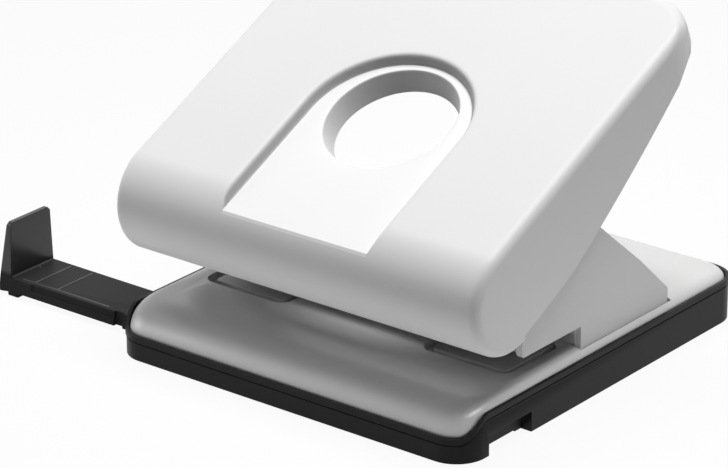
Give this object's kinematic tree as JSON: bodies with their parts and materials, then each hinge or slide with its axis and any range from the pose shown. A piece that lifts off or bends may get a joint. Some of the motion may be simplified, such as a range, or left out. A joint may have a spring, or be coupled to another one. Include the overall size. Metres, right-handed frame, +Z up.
{
  "type": "hole punch",
  "caption": "Two-hole desk punch: wide lever handle with a keyhole recess and an eye, rolled steel cover, chip tray, sliding paper guide, sprung punches.",
  "frame": {"origin": "middle of the chip tray's underside, on the surface that the punch stands on", "axes": "+X to the right along the punch's width, +Y from the front edge to the back, +Z up"},
  "size_m": [0.1856, 0.137, 0.1033],
  "materials": {
    "tray_black": "fine satin grain, black",
    "guide_black": "satin black plastic",
    "cover_silver": "silver lacquer on sheet steel, satin",
    "frame_grey": "grey lacquer on sheet steel, satin",
    "bridge_steel": "zinc-plated sheet steel",
    "sleeve_brass": "turned brass",
    "die_steel": "ground tool steel",
    "bright_steel": "bright plated steel",
    "clip_steel": "blackened spring steel",
    "spring_steel": "drawn spring wire",
    "punch_steel": "ground tool steel, bright",
    "cap_black": "black plastic",
    "handle_silver": "silver-grey plastic, satin",
    "inlay_silver": "bright silver plastic, smooth",
    "bracket_steel": "zinc-plated sheet steel"
  },
  "bodies": {
    "tray": {"chip_tray": "tray_black"},
    "guide": {"paper_guide": "guide_black"},
    "base": {"base_cover": "cover_silver", "base_frame": "frame_grey", "punch_bridge": "bridge_steel", "left_guide_plate": "bridge_steel", "right_guide_plate": "bridge_steel", "left_guide_sleeve": "sleeve_brass", "right_guide_sleeve": "sleeve_brass", "left_die": "die_steel", "right_die": "die_steel", "hinge_axle": "bright_steel", "axle_clips": "clip_steel", "left_return_spring": "spring_steel", "right_return_spring": "spring_steel"},
    "handle": {"handle_shell": "handle_silver", "keyhole_inlay": "inlay_silver", "left_lever_bracket": "bracket_steel", "right_lever_bracket": "bracket_steel", "bracket_screws": "bright_steel", "pressure_rod": "bright_steel", "rod_clips": "clip_steel"},
    "left_punch": {"left_punch": "punch_steel", "left_spring_cap": "cap_black"},
    "right_punch": {"right_punch": "punch_steel", "right_spring_cap": "cap_black"}
  },
  "joints": [
    {"name": "base_lift", "type": "slide", "parent": "tray", "child": "base", "axis": [0, 0, 1], "range_m": [0, 0.025]},
    {"name": "handle_press", "type": "hinge", "parent": "base", "child": "handle", "pos_m": [0, -0.039, 0.043], "axis": [-1, 0, 0], "range_deg": [0, 26], "stiffness_Nm_per_rad": 1, "springref_deg": -20.05},
    {"name": "left_punch_stroke", "type": "slide", "parent": "base", "child": "left_punch", "axis": [0, 0, -1], "range_m": [0, 0.0081], "deforming": ["left_return_spring"]},
    {"name": "right_punch_stroke", "type": "slide", "parent": "base", "child": "right_punch", "axis": [0, 0, -1], "range_m": [0, 0.0081], "deforming": ["right_return_spring"]},
    {"name": "guide_slide", "type": "slide", "parent": "tray", "child": "guide", "axis": [1, 0, 0], "range_m": [-0.0332, 0.0475]}
  ],
  "couplings": [
    {"joint": "left_punch_stroke", "follows": "handle_press", "m_per_rad": 0.017807},
    {"joint": "right_punch_stroke", "follows": "handle_press", "m_per_rad": 0.017807}
  ]
}
